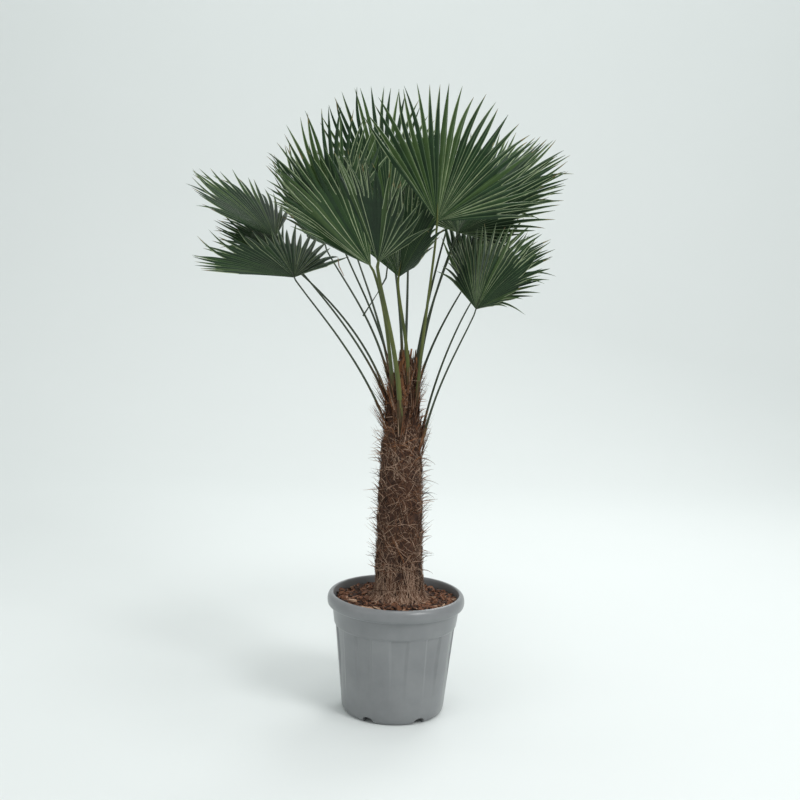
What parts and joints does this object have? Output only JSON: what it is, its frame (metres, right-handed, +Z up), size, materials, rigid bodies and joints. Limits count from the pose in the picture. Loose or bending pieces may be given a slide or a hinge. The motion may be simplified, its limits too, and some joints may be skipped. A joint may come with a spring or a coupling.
{
  "type": "potted wagner windmill palm",
  "caption": "Young wagner windmill palm with stiff fan leaves on slim stalks, a fibre-covered trunk and a round fluted nursery pot.",
  "frame": {"origin": "centre of the pot's flat underside, on the ground", "axes": "+Z up along the trunk; -Y is the side the picture shows; +X to the right of that view"},
  "size_m": [1.0577, 1.189, 1.7389],
  "materials": {
    "pot": "satin grey plastic",
    "soil": "bark mulch",
    "trunk": "fibrous bark",
    "stalk": "green leaf stalk",
    "leaf": "green leaf"
  },
  "bodies": {
    "root": {"pot": "pot", "soil": "soil", "trunk": "trunk", "stalk_01": "stalk", "stalk_02": "stalk", "stalk_03": "stalk", "stalk_04": "stalk", "stalk_05": "stalk", "stalk_06": "stalk", "stalk_07": "stalk", "stalk_08": "stalk", "stalk_09": "stalk", "stalk_10": "stalk", "stalk_11": "stalk", "stalk_12": "stalk", "stalk_13": "stalk", "stalk_14": "stalk", "stalk_15": "stalk", "stalk_16": "stalk", "stalk_17": "stalk", "stalk_18": "stalk", "frond_01": "leaf", "frond_02": "leaf", "frond_03": "leaf", "frond_04": "leaf", "frond_05": "leaf", "frond_06": "leaf", "frond_07": "leaf", "frond_08": "leaf", "frond_09": "leaf", "frond_10": "leaf", "frond_11": "leaf", "frond_12": "leaf", "frond_13": "leaf", "frond_14": "leaf", "frond_15": "leaf", "frond_16": "leaf", "frond_17": "leaf", "frond_18": "leaf"}
  },
  "joints": []
}
